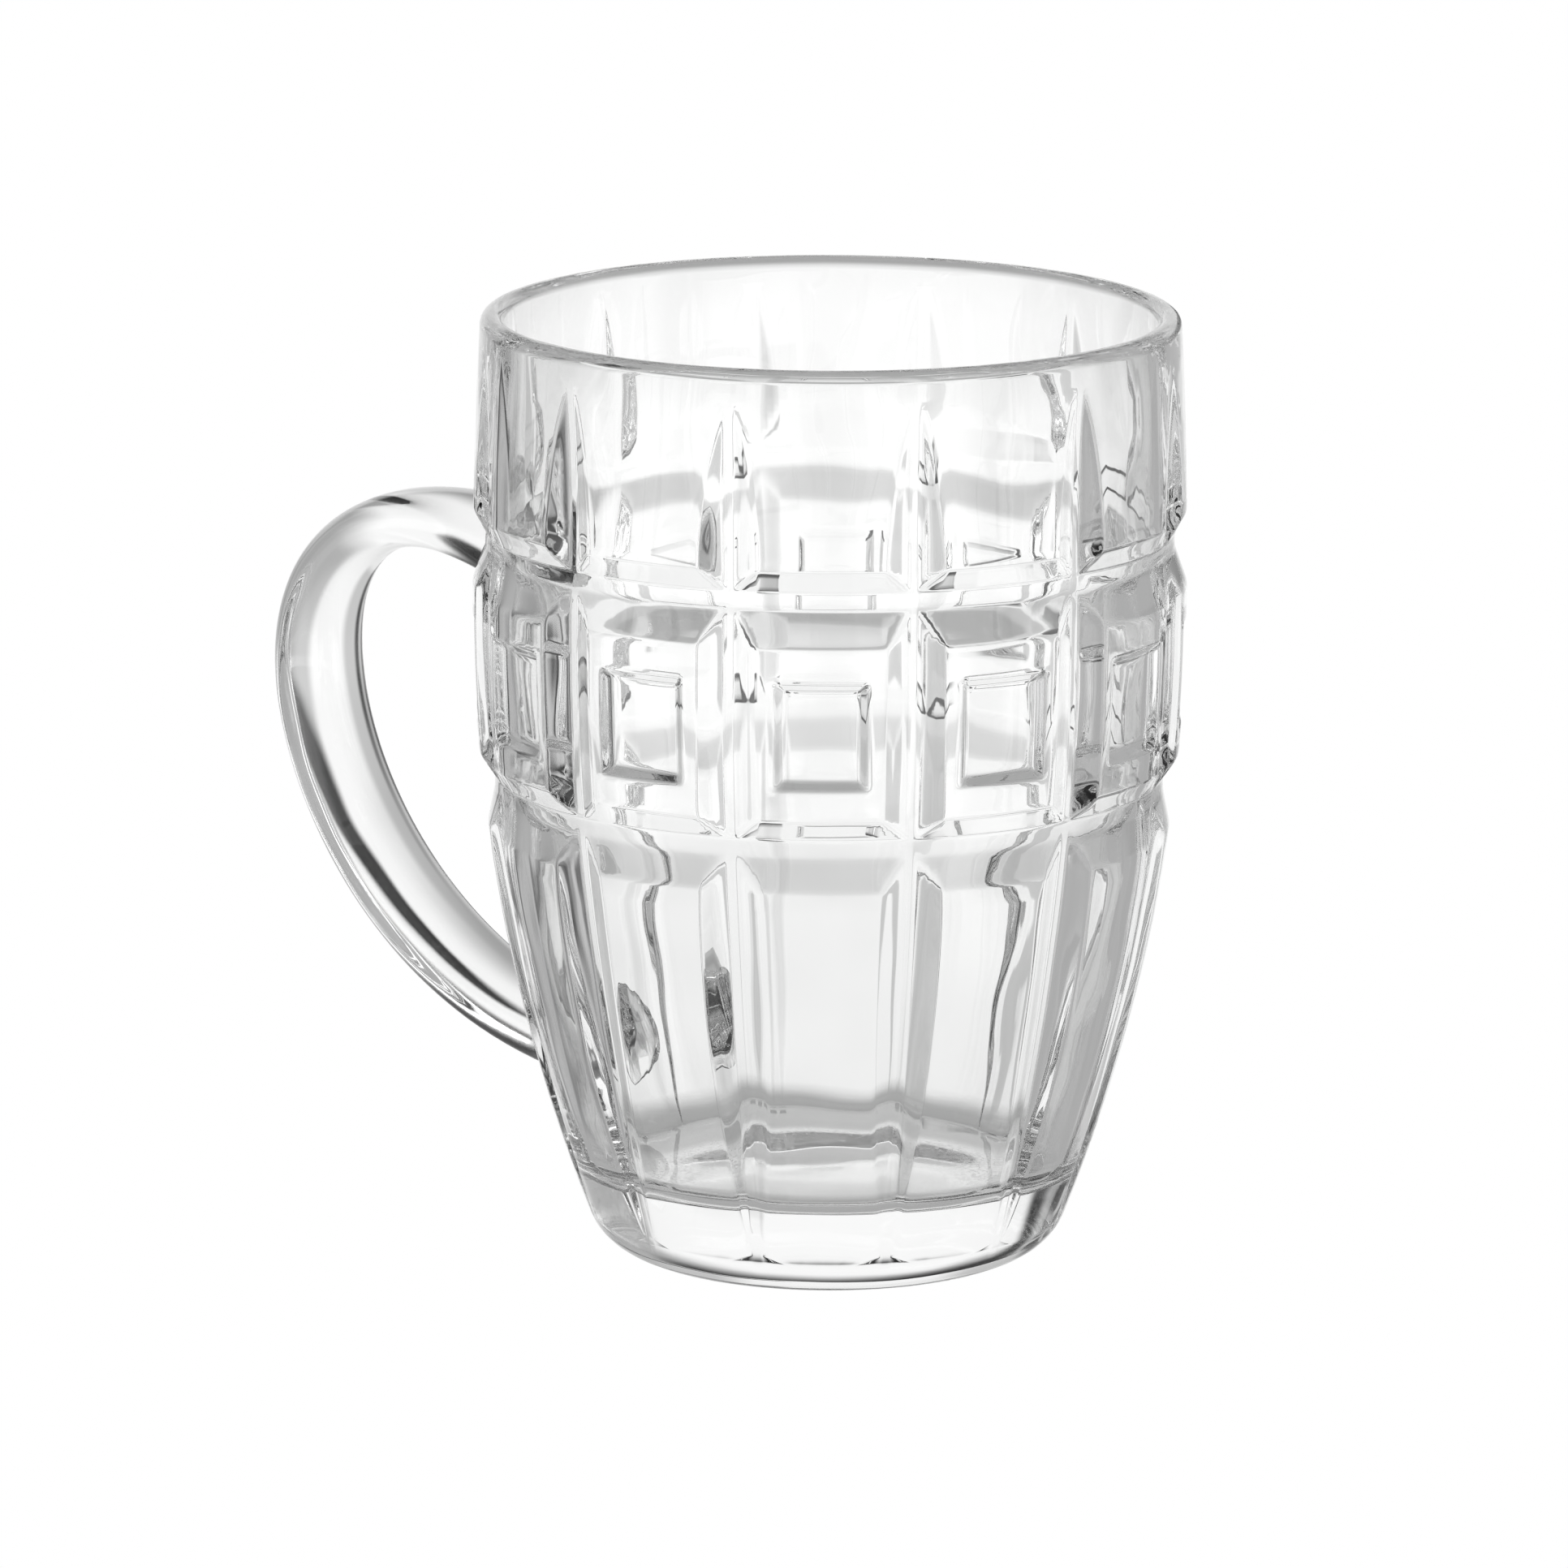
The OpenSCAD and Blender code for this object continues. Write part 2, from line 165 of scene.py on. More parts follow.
@dataclass
class Wall:
    """Plain form of the bowl before its grooves and dimples, in millimetres."""

    height: float
    belly_d: float
    belly_z: float = 90.0
    rim_d: float = 94.9
    foot_d: float = 61.4
    lip_t: float = 3.3
    wall_t: float = 5.0
    base_t: float = 12.5
    fillet_r: float = 5.0
    heel_r: float = 8.0
    foot_ring_w: float = 3.2
    hollow_depth: float = 1.5

    def __post_init__(self) -> None:
        """Work out the arcs that the sizes give."""
        belly_r = self.belly_d / 2
        self.belly_r = belly_r
        self.lower = Arc.upright_at(belly_r, self.belly_z, self.belly_z, belly_r - self.foot_d / 2)
        rise = self.height - self.belly_z
        self.upper = Arc.upright_at(belly_r, self.belly_z, rise, belly_r - self.rim_d / 2)
        self.lip_r = self.lip_t / 2
        self.lip_z = self.height - self.lip_r
        lip_centres = self.upper.inset(self.lip_r)
        self.lip_x = lip_centres.x_at(self.lip_z)
        self.lip_join_z = self.upper.touch_z(lip_centres, self.lip_z)
        heel_centres = self.lower.inset(self.heel_r)
        self.heel_x = heel_centres.x_at(self.heel_r)
        self.heel_join_z = self.lower.touch_z(heel_centres, self.heel_r)
        self.cavity = self.lower.inset(self.wall_t)
        self.fillet_z = self.base_t + self.fillet_r
        fillet_centres = self.cavity.inset(self.fillet_r)
        self.fillet_x = fillet_centres.x_at(self.fillet_z)
        self.fillet_join_z = self.cavity.touch_z(fillet_centres, self.fillet_z)

    def radius(self, z: float) -> float:
        """Distance from the axis to the outer wall at a height."""
        return self.lower.x_at(z) if z < self.belly_z else self.upper.x_at(z)

    def facing(self, z: float) -> Vector:
        """Direction square to the outer wall at a height, as its outward and upward parts."""
        arc = self.lower if z < self.belly_z else self.upper
        return Vector((self.radius(z) - arc.x, z - arc.z)) / arc.radius

    def underside(self, steps: int) -> Points:
        """Points from the axis across the shallow hollow to the ring that stands on the table.

        Args:
            steps: Number of points across the hollow.

        Returns:
            Pairs of distance from the axis and height.
        """
        ring_x = self.heel_x - self.foot_ring_w
        ball = Arc.upright_at(self.hollow_depth, 0.0, ring_x, self.hollow_depth)
        return [(ring_x * i / steps, ball.x_at(ring_x * i / steps)) for i in range(steps + 1)]

    def heel(self, steps: int) -> Points:
        """Points round the heel, from the standing ring up to the wall.

        Args:
            steps: Number of gaps between the points.

        Returns:
            Pairs of distance from the axis and height.
        """
        low = -math.pi / 2
        high = math.asin((self.heel_join_z - self.heel_r) / self.heel_r)
        return turned(self.heel_x, self.heel_r, self.heel_r, low, high, steps)

    def lip(self, steps: int) -> Points:
        """Points over the rounded lip, from the outer wall to the inner one."""
        low = math.asin((self.lip_join_z - self.lip_z) / self.lip_r)
        return turned(self.lip_x, self.lip_z, self.lip_r, low, math.pi, steps)

    def inside(self, steps: int) -> Points:
        """Points down the cavity's wall, round its fillet and in to the middle of its floor.

        Args:
            steps: Number of points on each stretch.

        Returns:
            Pairs of distance from the axis and height.
        """
        top_x = self.lip_x - self.lip_r
        belly_x = self.belly_r - self.wall_t
        points = []
        for i in range(1, steps + 1):
            share = i / steps
            z = self.lip_z + (self.belly_z - self.lip_z) * share
            points.append((top_x + (belly_x - top_x) * share, z))
        for i in range(1, 2 * steps + 1):
            z = self.belly_z + (self.fillet_join_z - self.belly_z) * i / (2 * steps)
            points.append((self.cavity.x_at(z), z))
        low = -math.asin((self.fillet_z - self.fillet_join_z) / self.fillet_r)
        down = turned(self.fillet_x, self.fillet_z, self.fillet_r, low, -math.pi / 2, steps)
        points += down[1:]
        points += [(self.fillet_x * (1 - i / steps), self.base_t) for i in range(1, steps + 1)]
        return points


def turned(x: float, z: float, radius: float, low: float, high: float, steps: int) -> Points:
    """Evenly spaced points on a circle of the half section.

    Args:
        x: Distance of its centre from the axis.
        z: Height of its centre.
        radius: Its radius.
        low: Angle of the first point, in radians above the outward direction.
        high: Angle of the last point.
        steps: Number of gaps between the points.

    Returns:
        Pairs of distance from the axis and height.
    """
    angles = [low + (high - low) * i / steps for i in range(steps + 1)]
    return [(x + radius * math.cos(a), z + radius * math.sin(a)) for a in angles]


@dataclass
class RingGroove:
    """Bevelled groove that runs round the bowl, in millimetres."""

    z: float
    depth: float = 1.7
    floor: float = 2.3
    bevel_up: float = 3.0
    bevel_down: float = 4.9
    valley_blend: float = 0.1

    def creases(self) -> list[float]:
        """Find the four creases of the groove.

        Returns:
            Their heights, from the lowest up.
        """
        low = self.z - self.floor / 2
        high = self.z + self.floor / 2
        return [low - self.bevel_down, low, high, high + self.bevel_up]

    def radius(self, wall: Wall, z: float) -> float:
        """Distance from the axis to the groove's surface, carried on past the wall.

        Args:
            wall: The plain wall that the groove is pressed into.
            z: Height.

        Returns:
            The distance, which is larger than the wall's where there is no groove.
        """
        outer_low, low, high, outer_high = self.creases()
        floor_r = wall.radius(self.z) - self.depth
        rise_low = (wall.radius(outer_low) - floor_r) / self.bevel_down * (low - z)
        rise_high = (wall.radius(outer_high) - floor_r) / self.bevel_up * (z - high)
        bevel = max(rise_low, rise_high)
        return floor_r + soft_max(0.0, bevel, self.valley_blend)


@dataclass
class ColumnGroove:
    """Upright bevelled groove between two panels, in three rows, in millimetres."""

    wall: Wall
    upper_z: float
    lower_z: float
    depth: float = 1.6
    floor: float = 1.4
    bevel: float = 3.5
    upper_tip_gap: float = 5.0
    lower_tip_gap: float = 6.0
    top_shares: tuple = (0.97, 0.8, 0.0)
    middle_shares: tuple = (1.0, 1.0, 1.0)
    bottom_shares: tuple = (0.0, 0.9, 1.0)
    valley_blend: float = 0.1

    def __post_init__(self) -> None:
        """Work out the arcs of the floor in the top, middle and bottom rows."""
        self.high_tip = self.wall.height - self.upper_tip_gap
        self.low_tip = self.lower_tip_gap
        self.top = self.run(self.upper_z, self.high_tip, self.top_shares)
        self.middle = self.run(self.lower_z, self.upper_z, self.middle_shares)
        self.bottom = self.run(self.low_tip, self.lower_z, self.bottom_shares)
        edge = self.floor / 2 + self.bevel
        belly_r = self.wall.belly_r
        drop = belly_r - math.sqrt(belly_r ** 2 - edge ** 2)
        self.slope = (self.depth - drop) / self.bevel

    def run(self, low: float, high: float, shares: tuple) -> Arc:
        """Arc of the groove's floor in one row.

        Args:
            low: Height of its lower end.
            high: Height of its upper end.
            shares: Depth at the lower end, middle and upper end, as shares of the full one.

        Returns:
            The arc.
        """
        heights = (low, (low + high) / 2, high)
        points = [(self.wall.radius(z) - self.depth * s, z) for z, s in zip(heights, shares)]
        return Arc.through(*points)

    def floor_radius(self, z: float) -> float:
        """Distance from the axis to the middle of the groove's floor.

        Args:
            z: Height.

        Returns:
            The distance.
        """
        if z >= self.upper_z:
            return self.top.x_at(z)
        if z >= self.lower_z:
            return self.middle.x_at(z)
        return self.bottom.x_at(z)

    def hip(self, z: float) -> float:
        """Distance sideways from the groove's middle to where its bevel meets the wall.

        Args:
            z: Height.

        Returns:
            The distance, which falls to half the floor's width at the tips.
        """
        radius = self.wall.radius(z)
        depth = max(radius - self.floor_radius(z), 0.0)
        lean = self.slope * radius
        reach = 2 * radius * (depth + self.slope * self.floor / 2)
        return math.sqrt(lean * lean + reach) - lean

    def radius(self, angle: float, z: float) -> float:
        """Distance from the axis to the groove's surface, carried on past the wall.

        Args:
            angle: Angle from the middle of the nearest groove, in radians.
            z: Height.

        Returns:
            The distance.
        """
        floor_r = self.floor_radius(z)
        side = abs(math.sin(angle))
        forward = math.cos(angle)
        flat = floor_r / forward
        bevel = (floor_r - self.slope * self.floor / 2) / (forward - self.slope * side)
        return soft_max(flat, bevel, self.valley_blend)


@dataclass
class Dimple:
    """Rectangular dimple in the middle of a panel, in millimetres."""

    wall: Wall
    z: float = 81.2
    width: float = 12.7
    height: float = 14.6
    depth: float = 1.3
    side: float = 1.2
    valley_blend: float = 0.35

    def creases(self) -> list[float]:
        """Heights of the dimple's outer and inner edges."""
        half = self.height / 2
        return [self.z - half, self.z - half + self.side, self.z + half - self.side, self.z + half]

    def radius(self, angle: float, z: float) -> float:
        """Distance from the axis to the dimple's surface, carried on past the wall.

        Args:
            angle: Angle from the middle of the panel, in radians.
            z: Height.

        Returns:
            The distance.
        """
        wall_r = self.wall.radius(z)
        across = abs(wall_r * math.sin(angle))
        steep = self.depth / self.side
        past_side = (across - self.width / 2 + self.side) * steep
        past_end = (abs(z - self.z) - self.height / 2 + self.side) * steep
        rise = soft_max(past_side, past_end, self.valley_blend)
        return wall_r - self.depth + soft_max(0.0, rise, self.valley_blend)


@dataclass
class Bowl:
    """The bowl of the mug with its grid of bevelled panels, in millimetres."""

    wall: Wall
    columns: int = 12
    upper_ring_z: float = 99.2
    lower_ring_z: float = 65.5
    hip_blend: float = 0.22
    dimple_blend: float = 0.3
    crease_margin: float = 0.33
    row_margin: float = 0.1
    low_nose: float = 6.0
    longest_side_step: float = 1.3
    longest_ring_step: float = 0.62
    longest_row_step: float = 2.6
    longest_nose_step: float = 0.8
    longest_top_step: float = 1.1
    least_gap: float = 0.15
    underside_steps: int = 5
    heel_steps: int = 7
    lip_steps: int = 9
    inside_steps: int = 6

    def __post_init__(self) -> None:
        """Make the reliefs and the lines that the mesh follows."""
        self.rings = [RingGroove(self.upper_ring_z), RingGroove(self.lower_ring_z)]
        self.groove = ColumnGroove(self.wall, self.upper_ring_z, self.lower_ring_z)
        self.dimple = Dimple(self.wall)
        self.sector = 2 * math.pi / self.columns
        half_panel = self.wall.belly_r * self.sector / 2
        self.side_creases = [
            0.0,
            self.groove.floor / 2,
            self.groove.hip(self.dimple.z),
            half_panel - self.dimple.width / 2,
            half_panel - self.dimple.width / 2 + self.dimple.side,
            half_panel,
        ]
        lines = spaced(self.side_creases, self.crease_margin, self.longest_side_step)
        self.side_lines = [line for line in lines if line >= 0.0]
        self.steps_per_sector = 2 * (len(self.side_lines) - 1)

    def heights(self) -> list[float]:
        """Lay the mesh lines that run round the outer wall, close where the relief needs them.

        Returns:
            Their heights, from the lowest up.
        """
        reliefs = (*self.rings, self.dimple)
        creases = sorted(z for relief in reliefs for z in relief.creases())
        lines = spaced(creases, self.crease_margin, self.longest_ring_step)
        low_end = self.wall.heel_join_z
        high_end = self.wall.lip_join_z
        nose_end = self.groove.low_tip + self.low_nose
        below = spaced([low_end, nose_end], self.crease_margin, self.longest_nose_step)
        middle = spaced([nose_end, lines[0]], self.row_margin, self.longest_row_step)
        above = spaced([lines[-1], high_end], self.crease_margin, self.longest_top_step)
        merged = sorted(below + middle + lines + above)
        result = [merged[0]]
        for z in merged[1:]:
            if z - result[-1] > self.least_gap:
                result.append(z)
        result[-1] = high_end
        return result

    def profile(self) -> list[tuple[float, float, bool]]:
        """Half section of the bowl, from the axis underneath to the axis on the cavity's floor.

        Returns:
            Distance from the axis, height, and whether the point is on the relief of the wall.
        """
        wall = self.wall
        points = [(x, z, False) for x, z in wall.underside(self.underside_steps)]
        points += [(x, z, False) for x, z in wall.heel(self.heel_steps)[:-1]]
        points += [(wall.radius(z), z, True) for z in self.heights()]
        points += [(x, z, False) for x, z in wall.lip(self.lip_steps)[1:]]
        points += [(x, z, False) for x, z in wall.inside(self.inside_steps)]
        return points

    def line_angle(self, line: float, z: float) -> float:
        """Angle from the groove's middle at which a mesh line runs at a height.

        Args:
            line: Place of the line at the belly, as distance from the groove's middle.
            z: Height.

        Returns:
            The angle in radians.
        """
        wall = self.wall
        z = min(max(z, wall.heel_join_z), wall.lip_join_z)
        radius = wall.radius(z)
        groove = self.groove
        full_hip = self.side_creases[2]
        hip = groove.hip(z)
        if z > groove.high_tip:
            hip += (full_hip - hip) * (z - groove.high_tip) / (wall.lip_join_z - groove.high_tip)
        if z < groove.low_tip:
            hip += (full_hip - hip) * (groove.low_tip - z) / (groove.low_tip - wall.heel_join_z)
        places = list(self.side_creases)
        places[2] = hip
        angles = [math.asin(place / radius) for place in places[:-1]] + [self.sector / 2]
        for i in range(len(angles) - 1):
            low, high = self.side_creases[i], self.side_creases[i + 1]
            if line <= high:
                return angles[i] + (angles[i + 1] - angles[i]) * (line - low) / (high - low)
        return self.sector / 2

    def radius(self, sector_angle: float, z: float, dimpled: bool) -> float:
        """Distance from the axis to the outside of the finished wall.

        Args:
            sector_angle: Angle from the middle of the nearest groove, in radians.
            z: Height.
            dimpled: Whether the panel beside the groove has a dimple.

        Returns:
            The distance.
        """
        result = self.wall.radius(z)
        for ring in self.rings:
            result = soft_min(result, ring.radius(self.wall, z), self.hip_blend)
        result = soft_min(result, self.groove.radius(sector_angle, z), self.hip_blend)
        if dimpled:
            from_panel = self.sector / 2 - sector_angle
            result = soft_min(result, self.dimple.radius(from_panel, z), self.dimple_blend)
        return result

    def spin(self, mesh: bmesh.types.BMesh, row: bmesh.types.BMLayerItem, points: list) -> None:
        """Spin the half section round the axis: one sector, then its copies.

        Args:
            mesh: Empty mesh, in millimetres.
            row: Layer that is given each vertex's place in the half section.
            points: The half section.
        """
        chain = []
        for index, (x, z, _) in enumerate(points):
            vertex = mesh.verts.new((x, 0.0, z))
            vertex[row] = index
            chain.append(vertex)
        edges = [mesh.edges.new(pair) for pair in zip(chain, chain[1:])]
        turning = {
            "cent": (0.0, 0.0, 0.0),
            "axis": (0.0, 0.0, 1.0),
            "dvec": (0.0, 0.0, 0.0),
            "space": Matrix.Identity(4),
            "use_merge": False,
            "use_normal_flip": False,
        }
        bmesh.ops.spin(
            mesh, geom=chain + edges, angle=self.sector, steps=self.steps_per_sector,
            use_duplicate=False, **turning,
        )
        whole = list(mesh.verts) + list(mesh.edges) + list(mesh.faces)
        bmesh.ops.spin(
            mesh, geom=whole, angle=2 * math.pi - self.sector, steps=self.columns - 1,
            use_duplicate=True, **turning,
        )
        bmesh.ops.remove_doubles(mesh, verts=mesh.verts, dist=WELD_MM)

    def nearest_groove(self, place: Vector) -> tuple[int, int, int]:
        """Find the mesh line of a vertex of the spun bowl, counted from the nearest groove.

        Args:
            place: Place of the vertex.

        Returns:
            Number of the groove, one or minus one for the side of it, and number of the line.
        """
        steps = self.columns * self.steps_per_sector
        turn = math.atan2(place.y, place.x) % (2 * math.pi)
        step = round(turn / (2 * math.pi) * steps) % steps
        groove, line = divmod(step, self.steps_per_sector)
        if line <= self.steps_per_sector // 2:
            return groove, 1, line
        return groove + 1, -1, self.steps_per_sector - line

    def pressed(self, point: tuple, line: int, dimpled: bool) -> tuple[float, float, float]:
        """Move a point of the half section to a mesh line and press the relief in.

        Args:
            point: Its distance from the axis, its height, and whether it gets the relief.
            line: Number of the line.
            dimpled: Whether the panel there has a dimple.

        Returns:
            Angle from the groove's middle, distance from the axis, and height.
        """
        x, z, relief = point
        angle = self.line_angle(self.side_lines[line], z)
        return angle, self.radius(angle, z, dimpled) if relief else x, z

    def build(self, name: str) -> bpy.types.Object:
        """Spin the half section and press the relief into its wall.

        Args:
            name: Name of the object.

        Returns:
            The bowl, closed, in metres.
        """
        points = self.profile()
        mesh = bmesh.new()
        row = mesh.verts.layers.int.new("row")
        self.spin(mesh, row, points)
        # The panel that the handle stands on has no dimple.
        handle_panel = self.columns // 2
        known = {}
        for vertex in mesh.verts:
            groove, side, line = self.nearest_groove(vertex.co)
            panel = (groove + 1 if side > 0 else groove) % self.columns
            dimpled = panel != handle_panel
            key = (vertex[row], line, dimpled)
            if key not in known:
                known[key] = self.pressed(points[vertex[row]], line, dimpled)
            angle, radius, z = known[key]
            heading = (groove + 0.5) * self.sector + side * angle
            vertex.co = (radius * math.cos(heading), radius * math.sin(heading), z)
        bmesh.ops.remove_doubles(mesh, verts=mesh.verts, dist=WELD_MM)
        return finished(mesh, name)


@dataclass
class Handle:
    """The handle, a solid bar swept along two curves that meet where it is furthest out."""

    wall: Wall
    reach: float = 84.0
    out_z: float = 74.0
    upper_root_z: float = 89.1
    lower_root_z: float = 22.5
    width: float = 14.0
    thickness: float = 11.0
    upper_root_angle: float = math.radians(29.5)
    lower_root_angle: float = math.radians(6.2)
    upper_pull_shares: tuple = (0.555, 0.47)
    lower_pull_shares: tuple = (0.455, 0.27)
    thickness_shares: tuple = (1, 0.91, 0.76, 0.72, 0.76, 0.86, 0.97, 1, 1, 0.99, 0.96, 0.9, 0.83)
    section_power: float = 2.3
    root_round: float = 2.5
    round_steps: int = 8
    curve_steps: int = 42
    sides: int = 64

    def __post_init__(self) -> None:
        """Lay the two curves of the middle line, each from its root inside the wall."""
        wall = self.wall
        upper_x = wall.belly_r - wall.wall_t
        lower_x = wall.radius(self.lower_root_z) - wall.wall_t
        self.upper = self.curve(
            Vector((upper_x, self.upper_root_z)), self.upper_root_angle, self.upper_pull_shares, 1
        )
        self.lower = self.curve(
            Vector((lower_x, self.lower_root_z)), self.lower_root_angle, self.lower_pull_shares, -1
        )

    def curve(self, root: Vector, angle: float, pulls: tuple, side: int) -> tuple:
        """Cubic curve from a root out to the place where the handle is furthest out.

        Args:
            root: Start, as distance from the axis and height.
            angle: Rise of the curve at its start, in radians.
            pulls: How far the start and the end pull it, as shares of the distance between them.
            side: One where the curve comes down to its end, and minus one where it comes up.

        Returns:
            The four points that steer it.
        """
        out = Vector((self.reach, self.out_z))
        span = (out - root).length
        leaving = Vector((math.cos(angle), math.sin(angle)))
        upright = Vector((0.0, float(side)))
        return (root, root + span * pulls[0] * leaving, out + span * pulls[1] * upright, out)

    @staticmethod
    def point(curve: tuple, t: float) -> Vector:
        """Point on a cubic curve.

        Args:
            curve: The four points that steer it.
            t: Share of the way along it.

        Returns:
            The point, as distance from the axis and height.
        """
        s = 1 - t
        return (
            s * s * s * curve[0]
            + 3 * s * s * t * curve[1]
            + 3 * s * t * t * curve[2]
            + t * t * t * curve[3]
        )

    @staticmethod
    def way(curve: tuple, t: float) -> Vector:
        """Direction of travel along a cubic curve.

        Args:
            curve: The four points that steer it.
            t: Share of the way along it.

        Returns:
            The direction, one long.
        """
        s = 1 - t
        slope = (
            s * s * (curve[1] - curve[0])
            + 2 * s * t * (curve[2] - curve[1])
            + t * t * (curve[3] - curve[2])
        )
        return slope.normalized()

    def half_thickness(self, share: float) -> float:
        """Half the bar's thickness, on a smooth curve through the thickness shares.

        Args:
            share: Share of the way along the bar, from the upper root.

        Returns:
            Half the thickness.
        """
        shares = self.thickness_shares
        at = share * (len(shares) - 1)
        i = min(int(at), len(shares) - 2)
        t = at - i
        a = shares[max(i - 1, 0)]
        b, c = shares[i], shares[i + 1]
        d = shares[min(i + 2, len(shares) - 1)]
        value = b + 0.5 * t * (c - a + t * (2 * a - 5 * b + 4 * c - d + t * (3 * (b - c) + d - a)))
        return self.thickness / 2 * value

    def places(self, curve: tuple) -> list[float]:
        """Shares of the way along a curve at which the skin has a ring.

        Args:
            curve: The curve.

        Returns:
            One share inside the wall, those in the root's round, then even steps to the end.
        """
        pace = 3 * (curve[1].x - curve[0].x)
        turns = [math.pi / 2 * i / self.round_steps for i in range(self.round_steps + 1)]
        depths = [self.wall.wall_t + self.root_round * (1 - math.cos(turn)) for turn in turns]
        rounded = [depth / pace for depth in depths]
        free = rounded[-1]
        even = [free + (1 - free) * i / self.curve_steps for i in range(1, self.curve_steps + 1)]
        return [0.0] + rounded + even

    def stations(self) -> list[tuple[tuple, float, float, int]]:
        """Places of the skin's rings, from the upper root round to the lower one.

        Returns:
            The curve, the shares of the way along it and along the bar, and one where the bar
            runs on along the curve or minus one where it runs back.
        """
        upper = [(self.upper, share, share / 2, 1) for share in self.places(self.upper)]
        back = reversed(self.places(self.lower)[:-1])
        return upper + [(self.lower, share, 1 - share / 2, -1) for share in back]

    def place_ring(self, ring: list, spoke: bmesh.types.BMLayerItem, station: tuple) -> None:
        """Move one ring of the skin to its place on the bar.

        At the wall the ring swells into the round and lies flat against the wall. A handle's
        thickness away it stands square to the middle line.

        Args:
            ring: The ring's vertices.
            spoke: Layer that holds each vertex's place round the ring.
            station: The curve, the shares of the way along it and the bar, and the sense.
        """
        curve, t, share, sense = station
        centre = self.point(curve, t)
        along = self.way(curve, t)
        away = max(centre.x - self.wall.radius(centre.y), 0.0)
        inward = max(self.root_round - away, 0.0)
        swell = self.root_round - math.sqrt(self.root_round ** 2 - inward ** 2)
        near = max(1 - away / self.thickness, 0.0)
        lean = near * near * (3 - 2 * near)
        way = along.lerp(self.wall.facing(centre.y), lean).normalized()
        half_t = self.half_thickness(share) / way.dot(along) + swell
        half_w = self.width / 2 + swell
        power = 2 / self.section_power
        for vertex in ring:
            turn = 2 * math.pi * vertex[spoke] / self.sides
            out = math.copysign(abs(math.cos(turn)) ** power, math.cos(turn)) * half_t * sense
            across = math.copysign(abs(math.sin(turn)) ** power, math.sin(turn)) * half_w
            vertex.co = (-centre.x + way.y * out, across, centre.y + way.x * out)

    def build(self, name: str) -> bpy.types.Object:
        """Extrude a ring along the bar and close its ends.

        Args:
            name: Name of the object.

        Returns:
            The bar, with both ends inside the bowl's wall, in metres.
        """
        mesh = bmesh.new()
        spoke = mesh.verts.layers.int.new("spoke")
        ring = bmesh.ops.create_circle(mesh, cap_ends=False, segments=self.sides, radius=1.0)["verts"]
        for index, vertex in enumerate(ring):
            vertex[spoke] = index
        stations = self.stations()
        self.place_ring(ring, spoke, stations[0])
        edges = list(mesh.edges)
        for station in stations[1:]:
            grown = bmesh.ops.extrude_edge_only(mesh, edges=edges)["geom"]
            ring = [part for part in grown if isinstance(part, bmesh.types.BMVert)]
            members = set(ring)
            edges = [
                part
                for part in grown
                if isinstance(part, bmesh.types.BMEdge) and members.issuperset(part.verts)
            ]
            self.place_ring(ring, spoke, station)
        bmesh.ops.holes_fill(mesh, edges=mesh.edges, sides=0)
        return finished(mesh, name)


def finished(mesh: bmesh.types.BMesh, name: str) -> bpy.types.Object:
    """Turn a mesh in millimetres into a smooth object in metres.

    Args:
        mesh: The mesh, which is freed.
        name: Name of the object.

    Returns:
        The object, at the origin.
    """
    bmesh.ops.scale(mesh, vec=(MM, MM, MM), verts=mesh.verts)
    bmesh.ops.recalc_face_normals(mesh, faces=mesh.faces)
    for face in mesh.faces:
        face.smooth = True
    data = bpy.data.meshes.new(name)
    mesh.to_mesh(data)
    mesh.free()
    piece = bpy.data.objects.new(name, data)
    bpy.context.scene.collection.objects.link(piece)
    return piece


class Join(Enum):
    """How two closed pieces of glass are cut to meet each other."""

    UNION = "UNION"
    DIFFERENCE = "DIFFERENCE"


def cut(piece: bpy.types.Object, other: bpy.types.Object, join: Join) -> bmesh.types.BMesh:
    """Join or cut a piece with another one.

    Args:
        piece: The piece that is worked on. It stays as it is.
        other: The piece that it is joined or cut with.
        join: Which of the two.

    Returns:
        The result, whose faces keep material 0 where they come from the piece and 1 elsewhere.
    """
    modifier = piece.modifiers.new("join", "BOOLEAN")
    modifier.operation = join.value
    modifier.solver = "EXACT"
    modifier.material_mode = "TRANSFER"
    modifier.object = other
    bpy.context.view_layer.update()
    graph = bpy.context.evaluated_depsgraph_get()
    data = bpy.data.meshes.new_from_object(piece.evaluated_get(graph))
    result = bmesh.new()
    result.from_mesh(data)
    own = piece.data.materials[0]
    kept = [i for i, material in enumerate(data.materials) if material == own]
    for face in result.faces:
        face.material_index = 0 if face.material_index in kept else 1
    piece.modifiers.remove(modifier)
    bpy.data.meshes.remove(data)
    return result


